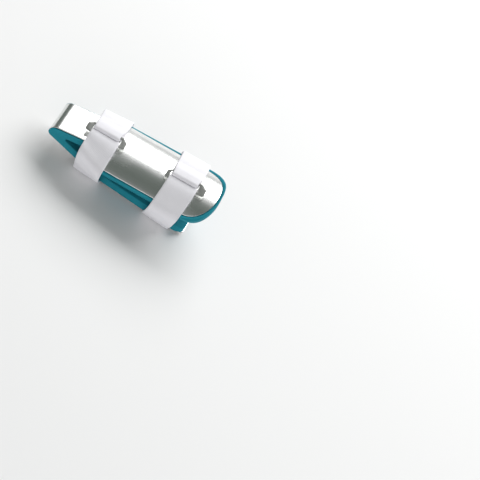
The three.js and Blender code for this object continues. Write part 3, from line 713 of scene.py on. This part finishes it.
def strap_surface(place, sizes):
    """The strap: two edge lines with a rounded section carried along between them.

    The section is a rounded rectangle (v, w): v runs across the width, w through the thickness. A point is
    the straight line between the edges at v, plus w times the normal, plus an edge curl of c (2v/width)^4
    toward the inside of the loop. The strap is a little narrower at the lip, and both its ends close in a
    half round.
    """
    top_x, bottom_x = place["top_x"], place["bottom_x"]
    edges, turned = [], []
    for edge in strap_edges(place, sizes):
        wrap = Wrap(edge)
        line = strap_line(wrap.top_arc, place["ring_slip"][1], sizes)
        edges.append((wrap.at(line[:, 0], line[:, 1]), edge[0]))
        turned.append(line)
    middle = (edges[0][0] + edges[1][0]) / 2
    run = np.r_[0.0, np.cumsum(np.linalg.norm(np.diff(middle, axis=0), axis=1))]
    even = np.linspace(0, run[-1], int(run[-1] / STRAP_STEP))
    step = even[1] - even[0]
    middle_even = sampled(even, run, middle)
    top = max(edges[0][1], edges[1][1])
    on_side = smooth(np.abs(middle_even[:, 0]), *EASE_ASIDE) * smooth(middle_even[:, 1], *EASE_HEIGHT)
    lip_at = even[np.argmax(sampled(even, run, turned[0])[:, 1])]
    near_lip = np.exp(-((even - lip_at) / LIP_PINCH_REACH) ** 2)
    lines, normals = [], []
    for (points, height), side in zip(edges, (-1, 1)):
        points = eased(sampled(even, run, points), step, SIDE_EASE, on_side)
        forward = np.gradient(points, axis=0)
        forward /= np.linalg.norm(forward, axis=1)[:, None]
        drop = np.clip(1 - points[:, 1] / height, 0, 1)
        x = (top_x + (bottom_x - top_x) * drop + place["lip_slip"] * near_lip
             + side * sizes["width"] / 2 * (1 - LIP_PINCH * near_lip))
        lines.append(joined(x, points[:, 0], points[:, 1]))
        normals.append(joined(0 * x, -forward[:, 1], forward[:, 0]))
    half = sizes["thickness"] / 2
    corner = STRAP_EDGE_SHARE * half
    flat_half = sizes["width"] / 2 - corner
    arc = np.linspace(0, np.pi / 2, 5)
    flat_v = np.linspace(-1, 1, STRAP_FLAT_COLUMNS + 2)[1:-1] * flat_half
    side_v = flat_half + corner * np.sin(arc)
    side_w = half - corner + corner * np.cos(arc)
    v = np.r_[flat_v, side_v, side_v[::-1]]
    w = np.r_[flat_v * 0 + half, side_w, -side_w[::-1]]
    v, w = np.r_[v, -v], np.r_[w, -w]
    cap = half * (1 - np.cos(np.linspace(0, np.pi / 2, 5)))[:-1]
    stations = np.r_[cap, even[(even > half) & (even < even[-1] - half)], even[-1] - cap[::-1]]
    near_end = np.clip(np.minimum(stations, even[-1] - stations) / half, 0, 1)
    shrink = np.sqrt(np.maximum(1e-3, 1 - (1 - near_end) ** 2))
    first, second, first_normal, second_normal = (
        sampled(stations, even, part) for part in (*lines, *normals))
    aside = smooth(np.abs(middle_even[:, 0]), *CURL_ASIDE)
    below_shoulder = smooth(top - middle_even[:, 1], *CURL_BELOW_TOP)
    curl = np.interp(stations, even, EDGE_CURL * (aside * below_shoulder))
    share = (v / sizes["width"] + 0.5)[None, :, None]
    centre = first[:, None] * (1 - share) + second[:, None] * share
    normal = first_normal[:, None] * (1 - share) + second_normal[:, None] * share
    normal /= np.linalg.norm(normal, axis=-1)[..., None]
    to_inside = np.array([0.0, 0.0, top / 2]) - (first + second) / 2
    curl *= np.sign(np.sum((first_normal + second_normal) * to_inside, axis=1))
    off = w[None, :] * shrink[:, None] + curl[:, None] * (2 * np.abs(v[None, :]) / sizes["width"]) ** 4
    points = centre + normal * off[..., None]
    rows, columns = points.shape[:2]
    half_columns = columns // 2
    k = np.arange(half_columns - 1)
    other = columns - 1 - k
    cap_faces = joined(k, k + 1, other - 1, other)
    faces = np.concatenate([
        grid_faces(rows, columns, closed=True), cap_faces[:, ::-1], (rows - 1) * columns + cap_faces])
    flat = joined(np.repeat(stations, columns), np.tile(v, rows), np.tile(w, rows))
    return points.reshape(-1, 3), faces, flat


# Shapes of the rings

def closed_line(corners):
    """A closed outline with rounded corners, from the middle of its first side round to it again."""
    first = np.array(corners[-1][:2])
    second = np.array(corners[0][:2])
    middle = (*(first + second) / 2, 0.0)
    return Profile((middle, *corners, middle))


def over_middle(place, across, height, sizes):
    """A point over the middle of a strap and the slope between its two edges there."""
    points = []
    for edge in strap_edges(place, sizes):
        wrap = Wrap(edge)
        points.append(wrap.at(np.array([across / wrap.top_arc]), np.array([height]))[0])
    first, second = points
    middle = np.array([place["top_x"], *(first + second) / 2])
    slope = np.array([sizes["width"], *(second - first)])
    return middle, slope / np.linalg.norm(slope)


def ring_surface(place, sizes):
    """The flat ring: a rounded rectangular section carried round between its outline and its slot.

    At each step round it, the section runs from the slot's outline to the outer one, and its four edges
    are quarter rounds. Each rounded corner of the slot is matched with two corners of the outline. The ring
    then lies on the slope of the trough between the two turns of its strap.
    """
    half_slot = sizes["width"] / 2 + RING_SLOT_SIDE_ROOM
    half_length, half_depth = half_slot + RING_END_BAR_WIDTH, RING_SLOT_WIDTH / 2 + RING_BAR_WIDTH
    far_long, far_deep = RING_FAR_CUT
    far_low, far_high = RING_FAR_CUT_RADII
    slip_x, slip_y = place["ring_slip"]
    side = (
        (half_length - RING_NEAR_CUT, -half_depth, RING_CORNER_RADIUS),
        (half_length, -half_depth + RING_NEAR_CUT, RING_CORNER_RADIUS),
        (half_length, half_depth - far_deep, far_low),
        (half_length - far_long, half_depth, far_high),
    )
    right = [(slip_x + x, y, radius) for x, y, radius in side]
    left = [(slip_x - x, y, radius) for x, y, radius in reversed(side)]
    outer = closed_line(right + left)
    half_gap = RING_SLOT_WIDTH / 2
    signs = ((1, -1), (1, 1), (-1, 1), (-1, -1))
    inner = closed_line([(x * half_slot, y * half_gap, RING_SLOT_RADIUS) for x, y in signs])
    t = np.concatenate([
        np.linspace(run, run + 1, count, endpoint=False) for run, count in enumerate(RING_RUN_STEPS)])
    marks = np.arange(len(RING_RUN_STEPS) + 1)
    outer_marks = outer.stops[[0, *RING_MATCHING_STOPS, -1]]
    outline = np.stack(outer.at(np.interp(t, marks, outer_marks))[:2], axis=-1)
    slot_line = np.stack(inner.at(np.interp(t, marks, inner.stops))[:2], axis=-1)
    reach = outline - slot_line
    width = np.linalg.norm(reach, axis=1)[:, None]
    half = sizes["ring"] / 2
    arc = np.linspace(0, np.pi / 2, 4)
    in_from_edge = RING_EDGE_ROUND * (1 - np.sin(arc))
    height = half - RING_EDGE_ROUND * (1 - np.cos(arc))
    inset = np.r_[in_from_edge, in_from_edge[::-1]]
    rise = np.r_[height, -height[::-1]]
    outer_part = 1 - inset[None, :] / width
    inner_part = inset[None, ::-1] / width
    share = np.concatenate([outer_part, inner_part], axis=1)
    z = np.r_[rise, rise[::-1]]
    flat_points = slot_line[:, None] + reach[:, None] * share[..., None]
    local = np.concatenate([flat_points, np.broadcast_to(z[None, :, None], (*share.shape, 1))], axis=-1)
    bar_middle = (RING_SLOT_WIDTH + RING_BAR_WIDTH) / 2
    _, _, ring, far_ring = layer_heights(sizes)
    near_point, near_slope = over_middle(place, slip_y - bar_middle, ring, sizes)
    far_point, far_slope = over_middle(place, slip_y + bar_middle, far_ring, sizes)
    along = near_slope + far_slope
    along /= np.linalg.norm(along)
    across = far_point - near_point
    across -= along * (across @ along)
    across /= np.linalg.norm(across)
    up = np.cross(along, across)
    points = local @ np.stack([along, across, up]) + (near_point + far_point) / 2
    rows, columns = points.shape[:2]
    faces = grid_faces(rows + 1, columns, closed=True) % (rows * columns)
    return points.reshape(-1, 3), faces, local.reshape(-1, 3)


# Finishes

class Number:
    """A socket that carries a number, with the arithmetic that adds Math nodes."""

    def __init__(self, finish, socket):
        self.finish, self.socket = finish, socket

    def maths(self, operation, *others):
        return self.finish.number("ShaderNodeMath", {"operation": operation}, dict(enumerate(others)))

    def __add__(self, other):
        return self.maths("ADD", self, other)

    def __radd__(self, other):
        return self.maths("ADD", other, self)

    def __sub__(self, other):
        return self.maths("SUBTRACT", self, other)

    def __rsub__(self, other):
        return self.maths("SUBTRACT", other, self)

    def __mul__(self, other):
        return self.maths("MULTIPLY", self, other)

    def __rmul__(self, other):
        return self.maths("MULTIPLY", other, self)

    def __abs__(self):
        return self.maths("ABSOLUTE", self)

    def sine(self):
        return self.maths("SINE", self)

    def between(self, low, high):
        """0 at low, 1 at high, smooth between and held outside."""
        return self.finish.number(
            "ShaderNodeMapRange", {"interpolation_type": "SMOOTHSTEP"},
            {"Value": self, "From Min": low, "From Max": high})


class Finish:
    """The node tree of one material, filled through one method."""

    def __init__(self, name):
        self.material = bpy.data.materials.new(name)
        self.material.use_nodes = True
        self.tree = self.material.node_tree
        self.tree.nodes.clear()

    def node(self, kind, settings=None, inputs=None):
        """Adds a node, sets its settings, then gives its sockets values or links."""
        made = self.tree.nodes.new(kind)
        for key, value in (settings or {}).items():
            setattr(made, key, value)
        for key, value in (inputs or {}).items():
            socket = made.inputs[key]
            value = value.socket if isinstance(value, Number) else value
            if isinstance(value, bpy.types.NodeSocket):
                self.tree.links.new(value, socket)
            else:
                socket.default_value = value
        return made

    def number(self, kind, settings, inputs):
        """The first output of a new node, as a number."""
        return Number(self, self.node(kind, settings, inputs).outputs[0])

    def flat(self):
        """The place on the flat piece, in mm: along it, across it and through it."""
        return self.node("ShaderNodeAttribute", {"attribute_name": "flat"}).outputs["Vector"]

    def axes(self, vector):
        made = self.node("ShaderNodeSeparateXYZ", None, {0: vector})
        return [Number(self, made.outputs[k]) for k in range(3)]

    def stretched(self, vector, scale):
        made = self.node("ShaderNodeMapping", {"vector_type": "POINT"}, {"Vector": vector, "Scale": scale})
        return made.outputs[0]

    def noise(self, vector, scale, detail=2.0, roughness=0.5, distortion=0.0):
        return self.number("ShaderNodeTexNoise", None, {
            "Vector": vector, "Scale": scale, "Detail": detail, "Roughness": roughness,
            "Distortion": distortion})

    def cells(self, vector, scale):
        return self.number("ShaderNodeTexVoronoi", None, {"Vector": vector, "Scale": scale})

    def blend(self, factor, first, second):
        made = self.node("ShaderNodeMix", {"data_type": "RGBA"}, {0: factor, 6: first, 7: second})
        return made.outputs[2]

    def bump(self, height, distance, strength=1.0):
        inputs = {"Height": height, "Distance": distance, "Strength": strength}
        return self.node("ShaderNodeBump", None, inputs).outputs[0]

    def done(self, settings):
        """Joins the surface shader to the output and returns the material."""
        shader = self.node("ShaderNodeBsdfPrincipled", None, settings)
        self.node("ShaderNodeOutputMaterial", None, {"Surface": shader.outputs[0]})
        return self.material


def rgba(colour, times=1.0):
    return (*(min(1.0, channel * times) for channel in colour), 1.0)


def metal_finish(colours):
    """Rolled sheet metal: fine lines along the strip and a few faint smudges."""
    f = Finish("Bare sheet metal")
    flat = f.flat()
    lines = f.noise(f.stretched(flat, (0.03, 5.0, 5.0)), 1.0, 3.0, 0.6)
    broad = f.noise(f.stretched(flat, (0.02, 0.7, 0.7)), 1.0, 2.0)
    smudge = f.noise(f.stretched(flat, (0.06, 0.10, 0.1)), 1.0, 1.0, 0.4).between(0.45, 0.80)
    base = colours.metal_roughness
    rough = base - 0.03 + lines * 0.06 + smudge * 0.07
    tone = f.blend(lines * 0.6 + broad * 0.4, rgba(colours.metal, 0.95), rgba(colours.metal, 1.05))
    tone = f.blend(smudge * 0.25, tone, rgba(colours.metal, 0.88))
    return f.done({
        "Base Color": tone, "Metallic": 1.0, "Roughness": rough,
        "Normal": f.bump(lines + broad * 2.0, 0.0000022)})


def ring_finish(colours):
    """Plated ring metal, a little darker and duller, with fine tumbled scratches."""
    f = Finish("Ring metal")
    flat = f.flat()
    scratches = f.noise(f.stretched(flat, (1.2, 7.0, 7.0)), 1.0, 3.0, 0.7)
    patches = f.noise(flat, 0.6, 3.0)
    tone = f.blend(patches, rgba(colours.ring, 0.85), rgba(colours.ring, 1.12))
    return f.done({
        "Base Color": tone, "Metallic": 1.0, "Roughness": 0.31 + scratches * 0.16,
        "Normal": f.bump(scratches, 0.000006)})


def foam_finish(colours):
    """Closed-cell foam: fine pits over the whole surface with painted shade in them, and patches of slightly
    lighter and darker teal.
    """
    f = Finish("Lining foam")
    place = f.node("ShaderNodeTexCoord").outputs["Object"]
    cells = f.cells(place, 2600.0)
    fine = f.noise(place, 5200.0, 2.0)
    patches = f.noise(place, 130.0, 3.0, 0.55)
    pits_and_painted_shade = 1 - cells.between(0.0, 0.42)
    tone = f.blend(patches, rgba(colours.foam, 0.90), rgba(colours.foam, 1.12))
    # Painted shade: the pits are painted toward a darker teal; the fine speckle is a random tone.
    tone = f.blend(pits_and_painted_shade * 0.30 + fine * 0.12, tone, rgba(colours.foam, 0.55))
    return f.done({
        "Base Color": tone, "Roughness": 0.82 + pits_and_painted_shade * 0.12, "Specular IOR Level": 0.2,
        "Normal": f.bump(cells + fine * 0.5, 0.00012, 0.8)})


def webbing_finish(colours, half_width):
    """Brushed webbing: fine cross ribs under a short looped pile with painted shade between its loops, and a
    denser woven edge.
    """
    f = Finish("Strap webbing")
    flat = f.flat()
    along, across, _ = f.axes(flat)
    wander = f.noise(flat, 0.8, 2.0) * 1.1
    ribs = (along * 9.0 + wander * 2.0).sine() * 0.5 + 0.5
    pile_and_painted_shade = f.noise(flat, 4.6, 3.0, 0.65, 0.6)
    loops = f.cells(f.stretched(flat, (2.4, 3.2, 3.2)), 1.0)
    edge = abs(across).between(half_width - 1.1, half_width - 0.55)
    patches = f.noise(f.stretched(flat, (0.10, 0.2, 0.2)), 1.0, 3.0)
    height = pile_and_painted_shade * 0.7 + ribs * 0.25 * (1 - edge) + loops * 0.5
    tone = f.blend(patches, rgba(colours.webbing, 0.96), rgba(colours.webbing, 1.03))
    # Painted shade: the low parts of the pile are painted toward a darker webbing tone; the woven edge is a
    # little darker.
    tone = f.blend((1 - pile_and_painted_shade) * 0.22 + edge * 0.06, tone, rgba(colours.webbing, 0.72))
    return f.done({
        "Base Color": tone, "Roughness": 0.86 + pile_and_painted_shade * 0.1, "Specular IOR Level": 0.3,
        "Sheen Weight": 0.15, "Sheen Roughness": 0.5,
        "Normal": f.bump(height, 0.00011, 0.75)})


def plain_finish(name, colour):
    return Finish(name).done({"Base Color": rgba(colour), "Roughness": 0.7})


def card_finish(name, colour):
    """A card that shows one flat tone in the metal."""
    f = Finish(name)
    glow = f.node("ShaderNodeEmission", None, {"Color": rgba(colour), "Strength": 1.0})
    f.node("ShaderNodeOutputMaterial", None, {"Surface": glow.outputs[0]})
    return f.material


# Operators

def sizes_in_mm(context):
    s = context.scene.splint_sizes
    return {"sheet": s.sheet_thickness / MM, "width": s.strap_width / MM,
            "thickness": s.strap_thickness / MM, "ring": s.ring_thickness / MM}


class SPLINT_OT_metal(bpy.types.Operator):
    """Build the bent sheet metal of the splint"""
    bl_idname = "splint.metal"
    bl_label = "Sheet Metal"

    def execute(self, context):
        s = context.scene.splint_sizes
        surface = plate_surface(s.sheet_thickness / MM, s.sheet_edge_round / MM)
        make_piece("splint_plate", *surface, metal_finish(context.scene.splint_colours), "plate")
        return {"FINISHED"}


class SPLINT_OT_foam(bpy.types.Operator):
    """Build the foam lining inside the metal"""
    bl_idname = "splint.foam"
    bl_label = "Foam Lining"

    def execute(self, context):
        s = context.scene.splint_sizes
        surface = foam_surface(s.sheet_thickness / MM, s.foam_thickness / MM, s.foam_edge_round / MM)
        foam = make_piece("foam_lining", *surface, foam_finish(context.scene.splint_colours), "foam")
        return {"FINISHED"}


class SPLINT_OT_straps(bpy.types.Operator):
    """Build the two straps with their turns round the rings"""
    bl_idname = "splint.straps"
    bl_label = "Straps"

    def execute(self, context):
        sizes = sizes_in_mm(context)
        finish = webbing_finish(context.scene.splint_colours, sizes["width"] / 2)
        for name, place in STRAP_PLACES.items():
            make_piece(name, *strap_surface(place, sizes), finish, "strap")
        return {"FINISHED"}


class SPLINT_OT_rings(bpy.types.Operator):
    """Build the two flat rings"""
    bl_idname = "splint.rings"
    bl_label = "Rings"

    def execute(self, context):
        sizes = sizes_in_mm(context)
        finish = ring_finish(context.scene.splint_colours)
        for name, place in STRAP_PLACES.items():
            ring = name.replace("strap", "buckle")
            make_piece(ring, *ring_surface(place, sizes), finish, "ring")
        return {"FINISHED"}


def add_card(name, corners, finish):
    """A flat stage card from its four corners, in metres."""
    mesh = bpy.data.meshes.new(name)
    mesh.from_pydata(corners, [], [(0, 1, 2, 3)])
    mesh.materials.append(finish)
    card = placed(name, mesh)
    return card


def add_softbox(name, place, target, size, power):
    """A rectangular area light at a place, turned toward a target, hidden from the camera."""
    light = bpy.data.lights.new(name, "AREA")
    light.shape, light.size, light.size_y, light.energy = "RECTANGLE", *size, power
    box = placed(name, light)
    aim = np.array(target) - np.array(place)
    box.location = place
    box.rotation_mode = "QUATERNION"
    box.rotation_quaternion = Vector(aim).to_track_quat("-Z", "Y")
    box.visible_camera = False


class SPLINT_OT_stage(bpy.types.Operator):
    """Build the floor, the light and the camera"""
    bl_idname = "splint.stage"
    bl_label = "Stage"

    def execute(self, context):
        scene = context.scene
        look = scene.splint_stage
        signs = ((-1, -1), (1, -1), (1, 1), (-1, 1))
        floor_corners = [(x * FLOOR_HALF, y * FLOOR_HALF, 0.0) for x, y in signs]
        add_card("floor", floor_corners, plain_finish("Floor", look.floor))
        dark = card_finish("Dark card", look.card)
        for name, corners in CARDS.items():
            add_card(name, corners, dark).visible_camera = False
        powers = {"softbox_back": look.softbox_power, "softbox_front": look.fill_power}
        for name, box in SOFTBOXES.items():
            add_softbox(name, *box, powers[name])
        world = bpy.data.worlds.new("room")
        world.use_nodes = True
        world.node_tree.nodes["Background"].inputs[0].default_value = rgba(look.sky)
        scene.world = world
        scene.view_settings.view_transform = "Standard"
        data = bpy.data.cameras.new("camera")
        data.lens, data.sensor_width = CAMERA_LENS, CAMERA_SENSOR
        data.clip_start, data.clip_end = CAMERA_CLIP
        camera = placed("camera", data)
        camera.location = CAMERA_PLACE
        camera.rotation_mode = "QUATERNION"
        camera.rotation_quaternion = CAMERA_TURN
        scene.camera = camera
        return {"FINISHED"}


class SPLINT_PT_panel(bpy.types.Panel):
    """Lists the steps that build the splint"""
    bl_idname = "SPLINT_PT_panel"
    bl_label = "Finger Splint"
    bl_space_type = "VIEW_3D"
    bl_region_type = "UI"
    bl_category = "Splint"

    def draw(self, context):
        layout = self.layout
        for group in (context.scene.splint_sizes, context.scene.splint_colours, context.scene.splint_stage):
            box = layout.box()
            for name in group.bl_rna.properties.keys():
                if name not in {"rna_type", "name"}:
                    box.prop(group, name)
        for step in STEPS:
            layout.operator(step.bl_idname)


STEPS = (SPLINT_OT_metal, SPLINT_OT_foam, SPLINT_OT_straps, SPLINT_OT_rings, SPLINT_OT_stage)
GROUPS = {"splint_sizes": SplintSizes, "splint_colours": SplintColours, "splint_stage": SplintStage}


def register():
    for made in (*GROUPS.values(), *STEPS, SPLINT_PT_panel):
        bpy.utils.register_class(made)
    for name, group in GROUPS.items():
        setattr(bpy.types.Scene, name, bpy.props.PointerProperty(type=group))


def unregister():
    for name in GROUPS:
        delattr(bpy.types.Scene, name)
    for made in (SPLINT_PT_panel, *reversed(STEPS), *reversed(GROUPS.values())):
        bpy.utils.unregister_class(made)


def main():
    register()
    bpy.ops.splint.metal()
    bpy.ops.splint.foam()
    bpy.ops.splint.straps()
    bpy.ops.splint.rings()
    bpy.ops.splint.stage()


if __name__ == "__main__":
    main()
